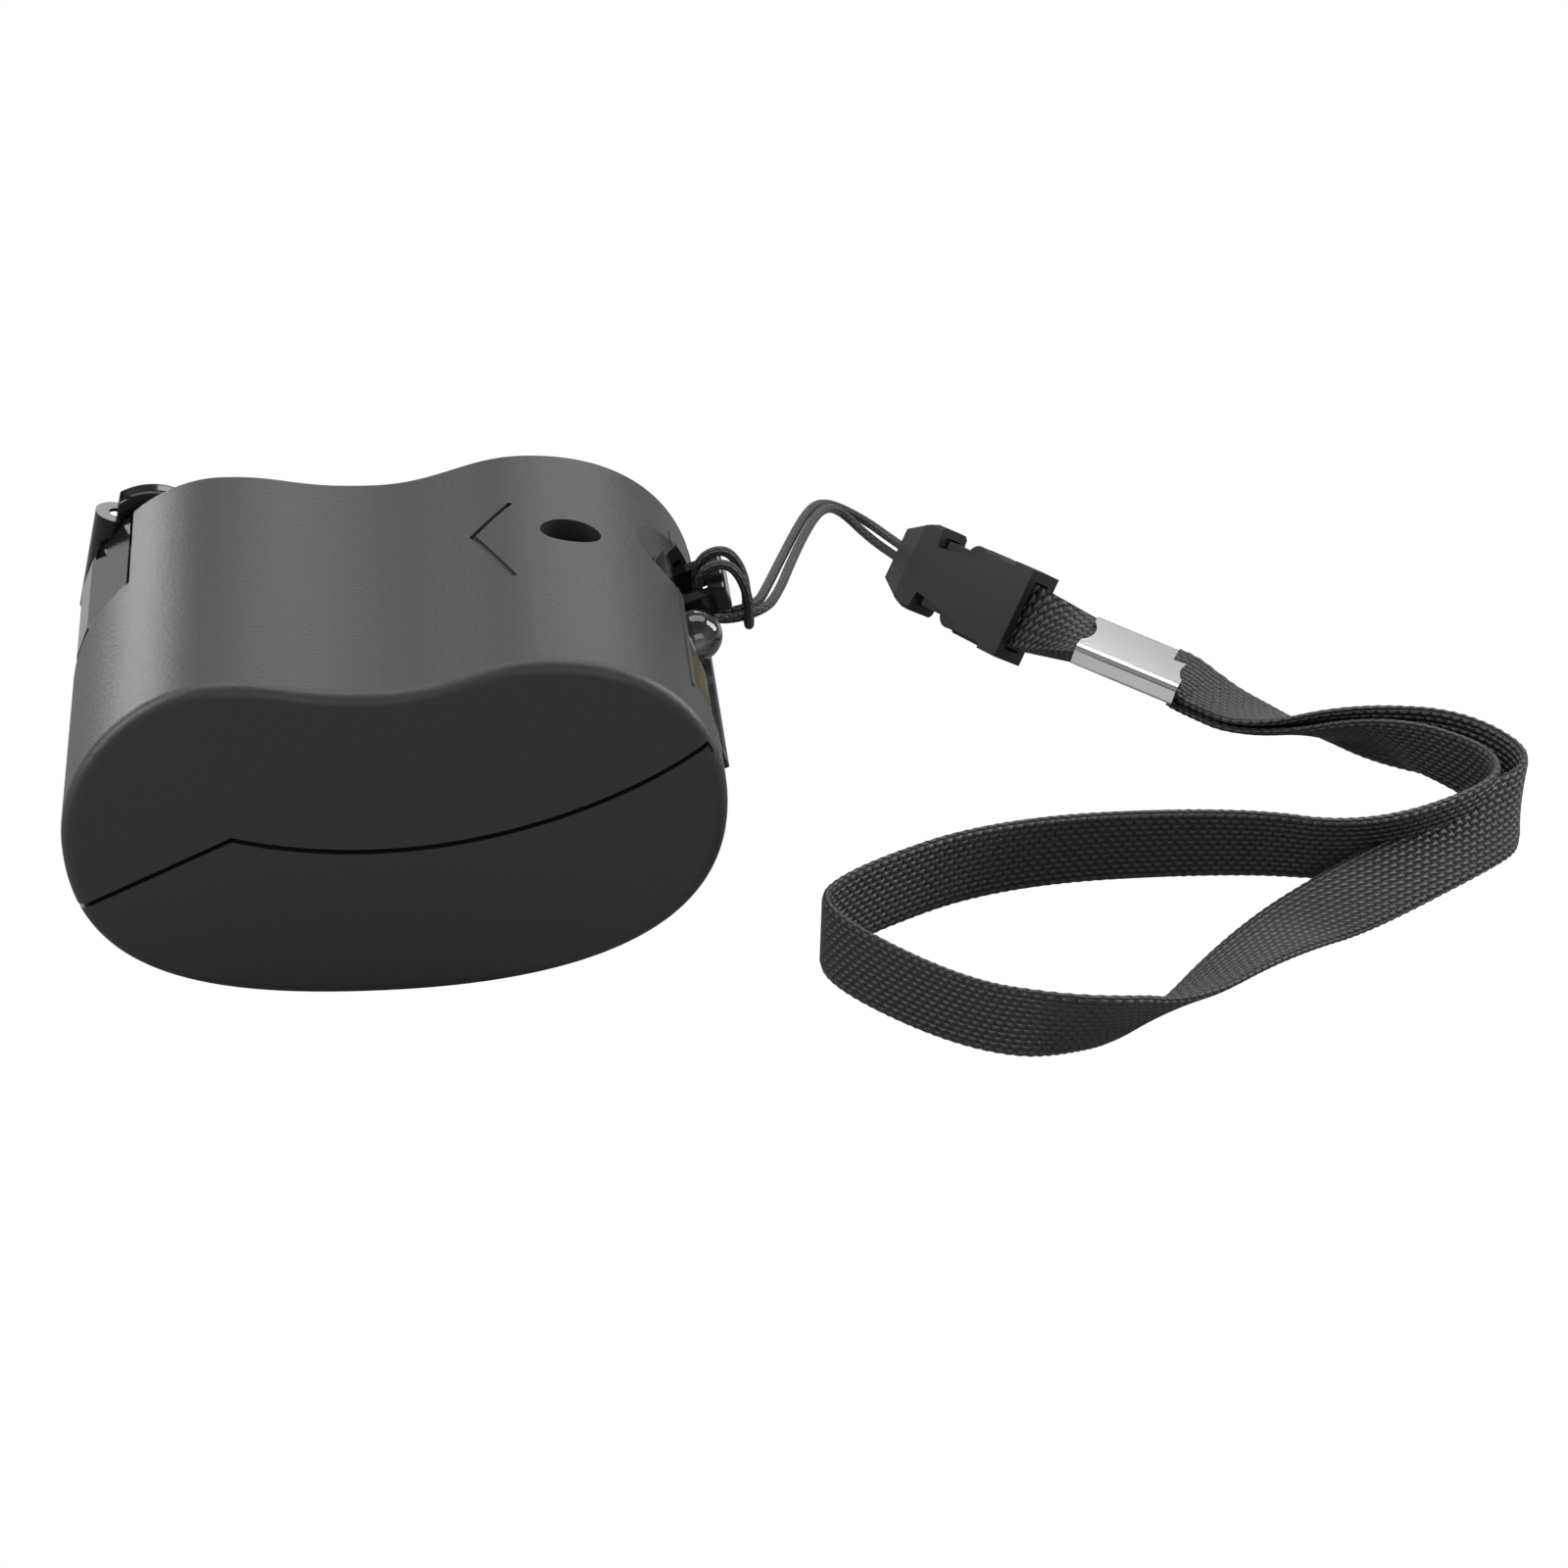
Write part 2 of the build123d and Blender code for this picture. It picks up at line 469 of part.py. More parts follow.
def electronics():
    """Board, socket, lamp, indicator, capacitor, diodes and leads."""
    y, v = USB_AT
    top = v - USB_H / 2
    board = on_panel(BOARD_Y, (top - BOARD_T, top), BOARD_N)
    outer = on_panel((y - USB_W / 2, y + USB_W / 2), (top, v + USB_H / 2), (-USB_LEN - 0.4, -0.4))
    inner = on_panel((y - USB_W / 2 + USB_T, y + USB_W / 2 - USB_T),
                     (top + USB_T, v + USB_H / 2 - USB_T), (-USB_LEN - 1, 1))
    core = on_panel((y - USB_W / 2 + USB_T, y + USB_W / 2 - USB_T),
                    (top + USB_T, v + USB_H / 2 - USB_T), (-USB_LEN - 0.4, -USB_LEN + 2.4))
    tongue = on_panel((y - 5.55, y + 5.55), (v + 0.25, v + 2.15), (-USB_LEN + 2.4, -2.6))
    contacts = None
    for spot in (-3.5, -1.0, 1.0, 3.5):
        strip = on_panel((y + spot - 0.5, y + spot + 0.5), (v, v + 0.25), (-USB_LEN + 2.4, -3.2))
        contacts = strip if contacts is None else contacts + strip
    lamp_y, lamp_v = LAMP_AT
    lens = PANEL * Pos(lamp_y, lamp_v, -3.4) * Cylinder(LAMP_R, 6.6)
    lens += PANEL * Pos(lamp_y, lamp_v, -0.1) * Sphere(LAMP_R)
    leads = None
    for side in (-1.27, 1.27):
        lead = on_panel((lamp_y + side - 0.25, lamp_y + side + 0.25), (lamp_v - 0.25, lamp_v + 0.25), (-9.0, -6.7))
        lead += on_panel((lamp_y + side - 0.25, lamp_y + side + 0.25), (top, lamp_v + 0.25), (-9.5, -9.0))
        leads = lead if leads is None else leads + lead
    capacitor = PANEL * Pos(-4.5, top - BOARD_T - 3.15, -8.5) * Rot(0, 90, 0) * Cylinder(3.15, 10.0)
    diodes = None
    for spot in (-11.5, -8.5, -5.5, -2.5):
        diode = on_panel((spot - 1.3, spot + 1.3), (top, top + 1.1), (-18.2, -16.4))
        diodes = diode if diodes is None else diodes + diode
    chip = on_panel((1.2, 4.6), (top, top + 1.4), (-18.0, -13.5))
    glow = Pos(*HOLE_AT, 26.3) * Cylinder(1.5, 4.0) + Pos(*HOLE_AT, 28.3) * Sphere(1.5)
    return {
        "circuit_board": board, "usb_shell": outer - inner, "usb_insulator": core + tongue,
        "usb_contacts": contacts, "led_lamp": lens, "led_leads": leads,
        "storage_capacitor": capacitor, "rectifier_diodes": diodes, "regulator_chip": chip,
        "indicator_lamp": glow,
    }


def wire(points, radii, diameter):
    """Round wire or cord along a route with rounded turns."""
    route = FilletPolyline(*points, radius=radii) if radii else Polyline(*points)
    section = Plane(origin=route @ 0, z_dir=route % 0) * Circle(diameter / 2)
    return sweep(section, path=route)


def bend_radii(points):
    """0.45 of the shorter run at each turn, over the tangent of half the turn."""
    radii = []
    for a, b, c in zip(points, points[1:], points[2:]):
        one, two = Vector(*b) - Vector(*a), Vector(*c) - Vector(*b)
        half = math.radians(one.get_angle(two)) / 2
        radii.append(0.45 * min(one.length, two.length) / math.tan(half))
    return radii


# ------------------------------------------------------------------ lanyard
CORD_ROUTE = (
    (55.0, 49.5, 4.9), (52.7, 53.0, 5.1), (50.7, 56.2, 5.6), (48.6, 57.3, 7.5), (46.7, 53.9, 10.1),
    (44.7, 47.2, 12.7), (42.2, 36.3, 15.6), (39.8, 24.4, 18.7), (37.9, 14.2, 21.4), (36.0, 8.1, 22.4),
    (31.4, 7.8, 21.5), (29.4, 7.3, 23.6), (29.6, 7.2, 27.4), (32.4, 7.0, 28.4), (34.2, 6.9, 25.4),
    (34.4, 7.2, 20.9), (34.4, 9.7, 20.9), (34.2, 10.0, 25.4), (32.4, 9.9, 28.4), (29.6, 9.7, 27.4),
    (29.4, 9.5, 23.6), (31.4, 9.2, 21.5), (35.2, 9.0, 22.5), (36.7, 14.8, 21.4), (38.7, 24.7, 18.7),
    (41.2, 36.6, 15.6), (43.7, 47.7, 12.7), (45.7, 54.8, 10.2), (48.2, 58.9, 7.6), (51.2, 57.2, 6.4),
    (53.3, 53.6, 6.1), (55.5, 49.9, 5.9),
)
STRAP_ROUTE = (
    ((78.38, 26, 4.08), 97), ((80.38, 25.03, 3.52), 97), ((81.9, 23.9, 2.35), 84),
    ((86.4, 17.6, 2.5), 80), ((95.7, 11.8, 3.95), 16), ((105, 7.9, 4.1), -7),
    ((109.5, -1.7, 4), -16), ((102.6, -8.5, 4.1), 57), ((89.4, -15.4, 1.7), 64),
    ((78.7, -24.6, 2.9), 100), ((68.5, -34.9, 2.35), 129), ((59.5, -41.8, 6.15), 166),
    ((50, -35.9, 3.85), 178), ((37.3, -22.5, 4.4), 184), ((41.5, -16, 3.95), 177),
    ((56.5, -8.6, 4.5), 181), ((79.1, -8.2, 4.35), 185), ((90.9, -11, 3.85), 196),
    ((104.7, -6, 4.5), 184), ((106.5, 1.6, 3.95), 174), ((98.6, 9.7, 4.3), 154),
    ((86.4, 17.4, 1.65), 99), ((81.6, 24, 1.5), 96), ((80.14, 25.02, 2.73), 83),
    ((78.14, 26, 3.3), 83),
)


def buckle_plane():
    """Buckle frame: x along it towards the strap, y across its width, origin at the cord's end."""
    roll = math.radians(BUCKLE_ROLL)
    along = Vector(*BUCKLE_DIR, 0).normalized()
    side = Vector(-along.Y, along.X, 0)
    up = side * math.sin(roll) + Vector(0, 0, 1) * math.cos(roll)
    return Plane(origin=(*BUCKLE_FROM, BUCKLE_Z), x_dir=along, z_dir=along.cross(up))


def buckle():
    """Side-release buckle, shut: socket with two side windows, plug with two curved prongs."""
    at, half, end = buckle_plane(), BUCKLE_W / 2, BUCKLE_END_W / 2
    reach, mouth = BUCKLE_L - PLUG_L, BUCKLE_T / 2
    outline = Polyline(
        (0, end), (4.2, half), (reach, half), (reach, -half), (4.2, -half), (0, -end), close=True
    )
    shell = extrude(make_face(outline), amount=mouth, both=True)
    shell = chamfer(shell.edges().filter_by(Axis.X), 0.35)
    shell -= Pos(0, 0, mouth) * Rot(0, -14, 0) * Box(5.4, 20, 1.5)
    shell -= Pos(0, 0, -mouth) * Rot(0, 14, 0) * Box(5.4, 20, 1.5)
    bore = block((4.6, reach + 1), (-half + 0.9, half - 0.9), (-mouth + 0.9, mouth - 0.9))
    windows = None
    for side in (-1, 1):
        gap = Pos(8.6, side * (half - 0.55), 0) * Rot(0, 0, side * 8) * Box(6.6, 2.3, 9)
        windows = gap if windows is None else windows + gap
    cord_hole = block((-1, 6), (-1.25, 1.25), (-0.62, 0.62))
    socket = shell - bore - windows - cord_hole
    plug = block((reach, BUCKLE_L), (-half - 0.2, half + 0.2), (-mouth - 0.1, mouth + 0.1))
    plug -= block((reach + 1.0, BUCKLE_L + 1), (-STRAP_W / 2, STRAP_W / 2), (-1.1, 1.1))
    plug += block((reach + 1.0, reach + 1.7), (-STRAP_W / 2 - 1, STRAP_W / 2 + 1), (-0.5, 0.5))
    inside = mouth - 0.9
    for side in (-1, 1):
        prong = block((6.0, reach), (side * 3.2 - 0.45, side * 3.2 + 0.45), (-inside, inside))
        bulge = Pos(10.2, side * (half - 1.45)) * Cylinder(1.35, 2 * inside)
        plug += prong + (bulge & block((4, reach), (-9, 9), (-4, 4)))
    plug += block((6.5, reach), (-0.8, 0.8), (-inside, inside))
    return at * socket, at * plug


def crimp_plane(point):
    """Frame at a point of the crimp's axis: x along it, y across its width."""
    roll = math.radians(CRIMP_ROLL)
    along = (Vector(*CRIMP_TO) - Vector(*CRIMP_FROM)).normalized()
    side = Vector(0, 0, 1).cross(along).normalized()
    across = side * math.sin(roll) + along.cross(side) * math.cos(roll)
    return Plane(origin=point, x_dir=along, z_dir=along.cross(across))


def crimp_length():
    return math.dist(CRIMP_FROM, CRIMP_TO)


def crimp():
    """Folded metal sleeve with scooped ends."""
    long, wide, thick = crimp_length(), CRIMP_W / 2, CRIMP_T / 2
    sleeve = fillet(block((0, long), (-wide, wide), (-thick, thick)).edges().filter_by(Axis.X), 0.6)
    sleeve -= block((-1, long + 1), (-wide + CRIMP_WALL, wide - CRIMP_WALL), (-thick + CRIMP_WALL, thick - CRIMP_WALL))
    for x in (-2.6, long + 2.6):
        sleeve -= Pos(x, 0, 0) * scale(Cylinder(4.2, 20), by=(0.8, 1, 1))
    return crimp_plane(CRIMP_FROM) * sleeve


def ribbon(start, finish, width, thick):
    """Webbing between two frames, lofted from one flat section to the other."""
    one = start * Rot(0, 90, 0) * Rectangle(thick, width)
    two = finish * Rot(0, 90, 0) * Rectangle(thick, width)
    return loft([one, two], ruled=False)


def strap_tab():
    """Short webbing between the buckle's bar and the crimp."""
    start = buckle_plane() * Pos(BUCKLE_L - PLUG_L + 1.7, 0, 0)
    finish = crimp_plane(CRIMP_FROM) * Pos(CRIMP_HOLD, 0, 0)
    return ribbon(start, finish, STRAP_W - 0.2, 2 * STRAP_T)


def smooth(values, leg, share):
    """Quadratic curve that starts at the middle of one leg of the route and ends at the next's."""
    one, two, three = values[leg - 1:leg + 2]
    first = one if leg == 1 else (one + two) / 2
    last = three if leg == len(values) - 2 else (two + three) / 2
    return first * (1 - share) ** 2 + two * 2 * share * (1 - share) + last * share ** 2


def wrist_strap():
    """Webbing loop: flat in the crimp, on edge round both bends, turned half over at the front."""
    spots = [Vector(*spot) for spot, _ in STRAP_ROUTE]
    turns = [float(angle) for _, angle in STRAP_ROUTE]
    sections = []
    for leg in range(1, len(spots) - 1):
        for step in range(STRAP_STEPS + (leg == len(spots) - 2)):
            share = step / STRAP_STEPS
            spot, ahead = smooth(spots, leg, share), smooth(spots, leg, share + 0.01)
            along = (ahead - spot).normalized()
            side = along.cross(Vector(0, 0, 1)).normalized()
            angle = math.radians(smooth(turns, leg, share))
            across = side.cross(along) * math.cos(angle) + side * math.sin(angle)
            sections.append(Plane(origin=spot, x_dir=across, z_dir=along) * Rectangle(STRAP_W, STRAP_T))
    return loft(sections, ruled=True)


def lanyard_cord():
    radii = bend_radii(CORD_ROUTE)
    print("cord bend radii", [round(radius, 1) for radius in radii])
    return wire(CORD_ROUTE, radii, CORD_D)


# ------------------------------------------------------------------ assembly
def housing_screws():
    """Three identical screws that pull the shells together from below."""
    total = None
    for x, y, top in SCREWS:
        seat = seat_z(x)
        screw = Pos(x, y, (seat + top) / 2) * Cylinder(SCREW_R, top - seat)
        screw += Pos(x, y, seat - SCREW_HEAD_T / 2) * Cylinder(SCREW_HEAD_R, SCREW_HEAD_T)
        screw -= Pos(x, y, seat - SCREW_HEAD_T) * (Box(2.4, 0.5, 1.2) + Box(0.5, 2.4, 1.2))
        total = screw if total is None else total + screw
    return total


def motor_leads():
    """Two insulated wires from the brush tabs to the board."""
    x, z = motor_axis()
    end = PLATE_Y - CAN_LEN - END_CAP_T + 0.75
    near = ((x + 6.75, end, z), (x + 10.0, end, z), (12.6, end, 17.6), (15.3, -14.0, 15.3))
    far = (
        (x - 6.25, end, z), (x - 4.4, end, z), (x - 2.6, end, z + 3.0), (x + 4.0, end, z + 4.6), (9.2, end, 19.6),
        (11.6, -6.0, 19.9), (13.4, -0.4, 18.8), (15.3, 0.0, 15.3),
    )
    return wire(near, bend_radii(near), 0.8) + wire(far, bend_radii(far), 0.8)


def build():
    upper, lower = housing()
    socket, plug = buckle()
    crank_pin, first_pin = idler_pins()
    nodes = {
        "upper_shell": upper, "lower_shell": lower, "end_panel": end_panel(),
        "lanyard_eye": lanyard_eye(), "housing_screws": housing_screws(),
        "gear_plate": gear_plate(), "crank_bush": crank_bush(), "crank_shaft": crank_shaft(),
        "crank_arm": crank_arm(), "crank_hub_screw": hub_screw(), "knob_hinge_pin": hinge_pin(),
        "crank_knob": crank_knob(), "crank_gear": crank_gear(), "first_idler_gear": first_idler(),
        "second_idler_gear": second_idler(), "motor_pinion": motor_pinion(),
        "second_idler_pin": crank_pin, "first_idler_pin": first_pin, "idler_spacer": idler_spacer(),
        "motor_leads": motor_leads(), "lanyard_cord": lanyard_cord(), "buckle_socket": socket,
        "buckle_plug": plug, "strap_tab": strap_tab(), "strap_crimp": crimp(),
        "wrist_strap": wrist_strap(), **motor_parts(), **electronics(),
    }
    shift = Pos(*[-value for value in ORIGIN])
    for name, solid in nodes.items():
        placed = shift * solid
        export_step(placed, f"parts/{name}.step")
        box = placed.bounding_box()
        print(f"{name:20s} {placed.volume:9.2f} mm3 solids {len(placed.solids())}"
              f" {[round(v, 2) for v in (*box.min, *box.max)]}")


if __name__ == "__main__":
    build()
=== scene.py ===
"""Looks of a hand crank charger.

Gives the CAD nodes their finishes, and adds the braided cord, the woven strap, the lights and the camera.
"""

import logging
import math
from dataclasses import dataclass
from enum import Enum

import bmesh
import bpy
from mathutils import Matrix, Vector


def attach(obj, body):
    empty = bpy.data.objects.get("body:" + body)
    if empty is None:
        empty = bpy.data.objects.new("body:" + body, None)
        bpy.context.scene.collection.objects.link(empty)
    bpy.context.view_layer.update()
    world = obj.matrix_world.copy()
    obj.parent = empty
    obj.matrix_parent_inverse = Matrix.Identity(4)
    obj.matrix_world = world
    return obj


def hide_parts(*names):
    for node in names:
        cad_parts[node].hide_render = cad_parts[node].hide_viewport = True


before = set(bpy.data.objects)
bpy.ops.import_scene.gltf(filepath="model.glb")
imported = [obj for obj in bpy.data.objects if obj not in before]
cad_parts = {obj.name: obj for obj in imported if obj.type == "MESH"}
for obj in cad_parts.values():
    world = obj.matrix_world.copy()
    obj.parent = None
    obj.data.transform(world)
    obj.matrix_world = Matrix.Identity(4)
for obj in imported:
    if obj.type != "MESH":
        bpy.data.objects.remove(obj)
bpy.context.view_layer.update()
LOG = logging.getLogger("charger")

# Routes in the row frame, in metres; the strap's points carry the roll of its width in degrees.
CORD_ROUTE = (
    (0.05356, 0.04750, 0.00490), (0.05126, 0.05100, 0.00510), (0.04926, 0.05420, 0.00560),
    (0.04716, 0.05530, 0.00750), (0.04526, 0.05190, 0.01010), (0.04326, 0.04520, 0.01270),
    (0.04076, 0.03430, 0.01560), (0.03836, 0.02240, 0.01870), (0.03646, 0.01220, 0.02140),
    (0.03456, 0.00610, 0.02240), (0.02996, 0.00580, 0.02150), (0.02796, 0.00530, 0.02360),
    (0.02816, 0.00520, 0.02740), (0.03096, 0.00500, 0.02840), (0.03276, 0.00490, 0.02540),
    (0.03296, 0.00520, 0.02090), (0.03296, 0.00770, 0.02090), (0.03276, 0.00800, 0.02540),
    (0.03096, 0.00790, 0.02840), (0.02816, 0.00770, 0.02740), (0.02796, 0.00750, 0.02360),
    (0.02996, 0.00720, 0.02150), (0.03376, 0.00700, 0.02250), (0.03526, 0.01280, 0.02140),
    (0.03726, 0.02270, 0.01870), (0.03976, 0.03460, 0.01560), (0.04226, 0.04570, 0.01270),
    (0.04426, 0.05280, 0.01020), (0.04676, 0.05690, 0.00760), (0.04976, 0.05520, 0.00640),
    (0.05186, 0.05160, 0.00610), (0.05406, 0.04790, 0.00590),
)
STRAP_ROUTE = (
    ((0.07694, 0.02400, 0.00408), 97), ((0.07894, 0.02303, 0.00352), 97),
    ((0.08046, 0.02190, 0.00235), 84), ((0.08496, 0.01560, 0.00250), 80),
    ((0.09426, 0.00980, 0.00395), 16), ((0.10356, 0.00590, 0.00410), -7),
    ((0.10806, -0.00370, 0.00400), -16), ((0.10116, -0.01050, 0.00410), 57),
    ((0.08796, -0.01740, 0.00170), 64), ((0.07726, -0.02660, 0.00290), 100),
    ((0.06706, -0.03690, 0.00235), 129), ((0.05806, -0.04380, 0.00615), 166),
    ((0.04856, -0.03790, 0.00385), 178), ((0.03586, -0.02450, 0.00440), 184),
    ((0.04006, -0.01800, 0.00395), 177), ((0.05506, -0.01060, 0.00450), 181),
    ((0.07766, -0.01020, 0.00435), 185), ((0.08946, -0.01300, 0.00385), 196),
    ((0.10326, -0.00800, 0.00450), 184), ((0.10506, -0.00040, 0.00395), 174),
    ((0.09716, 0.00770, 0.00430), 154), ((0.08496, 0.01540, 0.00165), 99),
    ((0.08016, 0.02200, 0.00150), 96), ((0.07851, 0.02311, 0.00279), 83),
)


EYE_AT = (0.03296, 0.00645, 0.02090)  # under the eye's bar, where the two strands meet
HALF = len(CORD_ROUTE) // 2
ROLL_SCALE = 1000  # degrees for each metre along x of the line that carries the rolls
CORD_DETAIL, STRAP_DETAIL = 12, 40  # points read along each span of a route
FLOOR_GAP = 0.0002

UP = Vector((0.0, 0.0, 1.0))
WHITE = (1.0, 1.0, 1.0, 1.0)
FLOOR_GREY = (0.3, 0.3, 0.3, 1.0)
GAP_SHADE_COLOUR = (0.002, 0.002, 0.002, 1.0)  # painted shade between the yarns of a weave
CROWN_HIGHLIGHT_SHARE = 1.6  # painted highlight: how much brighter than the finish's colour a yarn's crown is
FLOAT_FULLNESS = 0.6  # below 1 makes a yarn's crown broader than a sine
GRAIN_DETAIL = 2.0
SELVEDGE_SHARE = 0.55  # height of the webbing's edge as a share of its thickness


class Relief(Enum):
    """Fine relief that a finish carries."""

    NONE = 0
    GRAIN = 1
    WEAVE = 2


@dataclass(frozen=True)
class Finish:
    """One surface: its colour, how it reflects, and its relief."""

    colour: tuple[float, float, float]
    roughness: float
    metallic: float = 0.0
    transmission: float = 0.0
    specular: float = 0.5
    relief: Relief = Relief.NONE
    pitch: tuple[float, float] = (0.00025, 0.00025)
    height: float = 0.00002


FINISHES: dict[str, Finish] = {
    "shell_black": Finish(
        (0.0135, 0.0135, 0.0155), 0.50, relief=Relief.GRAIN, pitch=(0.00045, 0.00045), height=0.00004
    ),
    "gloss_black": Finish((0.006, 0.006, 0.007), 0.12, specular=0.20),
    "panel_black": Finish((0.012, 0.012, 0.013), 0.32, relief=Relief.GRAIN, height=0.000006),
    "lens_clear": Finish((0.96, 0.97, 0.98), 0.02, transmission=1.0),
    "lens_red": Finish((0.75, 0.16, 0.22), 0.05, transmission=0.6),
    "screw_steel": Finish((0.55, 0.55, 0.57), 0.30, metallic=1.0),
    "steel": Finish((0.62, 0.62, 0.63), 0.24, metallic=1.0),
    "can_steel": Finish((0.60, 0.60, 0.61), 0.34, metallic=1.0),
    "magnet": Finish((0.06, 0.06, 0.065), 0.45, metallic=0.4),
    "copper": Finish((0.78, 0.36, 0.18), 0.28, metallic=1.0),
    "brass": Finish((0.78, 0.58, 0.28), 0.26, metallic=1.0),
    "gear_white": Finish((0.82, 0.81, 0.77), 0.40),
    "plate_grey": Finish((0.22, 0.22, 0.23), 0.50),
    "board_green": Finish((0.03, 0.16, 0.07), 0.40),
    "component_black": Finish((0.03, 0.03, 0.03), 0.50),
    "capacitor_sleeve": Finish((0.05, 0.08, 0.20), 0.35),
    "port_shell": Finish((0.78, 0.74, 0.62), 0.22, metallic=1.0),
    "port_plastic": Finish((0.04, 0.04, 0.04), 0.45),
    "wire_red": Finish((0.55, 0.03, 0.03), 0.40),
    "cord_black": Finish(
        (0.013, 0.013, 0.014), 0.60, relief=Relief.WEAVE, pitch=(0.0009, 0.00075), height=0.00014
    ),
    "buckle_black": Finish(
        (0.008, 0.008, 0.009), 0.50, specular=0.25, relief=Relief.GRAIN, height=0.000012
    ),
    "crimp_nickel": Finish(
        (0.82, 0.82, 0.83), 0.12, metallic=1.0, relief=Relief.GRAIN, pitch=(0.0005, 0.0005), height=0.000003
    ),
    "webbing_black": Finish(
        (0.012, 0.012, 0.013), 0.50, relief=Relief.WEAVE, pitch=(0.00102, 0.00124), height=0.00034
    ),
}


class Wiring:
    """Adds and joins the nodes of one node tree."""

    def __init__(self, tree: bpy.types.NodeTree) -> None:
        self.tree = tree

    def node(self, kind: str, **values) -> bpy.types.Node:
        """Add a node and set its own properties.

        Args:
            kind: The node's Blender type name.
            values: Properties to set on it.

        Returns:
            The new node.
        """
        made = self.tree.nodes.new(kind)
        for name, value in values.items():
            setattr(made, name, value)
        return made

    def join(self, value, socket: bpy.types.NodeSocket) -> None:
        """Link a socket, or set a plain number, into an input."""
        if isinstance(value, bpy.types.NodeSocket):
            self.tree.links.new(value, socket)
        else:
            socket.default_value = value

    def math(self, operation: str, first, second=0.0) -> bpy.types.NodeSocket:
        """Combine two sockets or numbers with a maths node."""
        made = self.node("ShaderNodeMath", operation=operation)
        self.join(first, made.inputs[0])
        self.join(second, made.inputs[1])
        return made.outputs[0]


class ReliefGroups:
    """The two node groups that give a surface its relief."""

    def __init__(self) -> None:
        self.grain = self._grain()
        self.weave = self._weave()

    @staticmethod
    def _start(name: str) -> tuple[Wiring, bpy.types.Node, bpy.types.Node]:
        """Make a group with the sockets that both reliefs share.

        Args:
            name: The group's name.

        Returns:
            The group's wiring, its input node and its output node.
        """
        tree = bpy.data.node_groups.new(name, "ShaderNodeTree")
        tree.interface.new_socket("Vector", in_out="INPUT", socket_type="NodeSocketVector")
        for label in ("Along", "Across"):
            tree.interface.new_socket(label, in_out="INPUT", socket_type="NodeSocketFloat")
        tree.interface.new_socket("Height", in_out="OUTPUT", socket_type="NodeSocketFloat")
        wiring = Wiring(tree)
        return wiring, wiring.node("NodeGroupInput"), wiring.node("NodeGroupOutput")

    def _grain(self) -> bpy.types.NodeTree:
        """Fine pebble of a spark-eroded mould."""
        wiring, given, out = self._start("Grain")
        noise = wiring.node("ShaderNodeTexNoise")
        wiring.join(given.outputs["Vector"], noise.inputs["Vector"])
        wiring.join(wiring.math("DIVIDE", 1.0, given.outputs["Along"]), noise.inputs["Scale"])
        noise.inputs["Detail"].default_value = GRAIN_DETAIL
        wiring.join(noise.outputs[0], out.inputs["Height"])
        return wiring.tree

    def _weave(self) -> bpy.types.NodeTree:
        """Staggered floats of a plain woven webbing or braid."""
        wiring, given, out = self._start("Weave")
        split = wiring.node("ShaderNodeSeparateXYZ")
        wiring.join(given.outputs["Vector"], split.inputs[0])
        row = wiring.math("DIVIDE", split.outputs[1], given.outputs["Across"])
        stagger = wiring.math("MULTIPLY", wiring.math("FLOOR", wiring.math("MULTIPLY", row, 2.0)), 0.5)
        step = wiring.math("ADD", wiring.math("DIVIDE", split.outputs[0], given.outputs["Along"]), stagger)
        along = wiring.math("SINE", wiring.math("MULTIPLY", wiring.math("FRACT", step), math.pi))
        half = wiring.math("FRACT", wiring.math("MULTIPLY", row, 2.0))
        across = wiring.math("SINE", wiring.math("MULTIPLY", half, math.pi))
        waves = [wiring.math("POWER", wave, FLOAT_FULLNESS) for wave in (along, across)]
        lump = wiring.math("MULTIPLY", *waves)
        wiring.join(lump, out.inputs["Height"])
        return wiring.tree


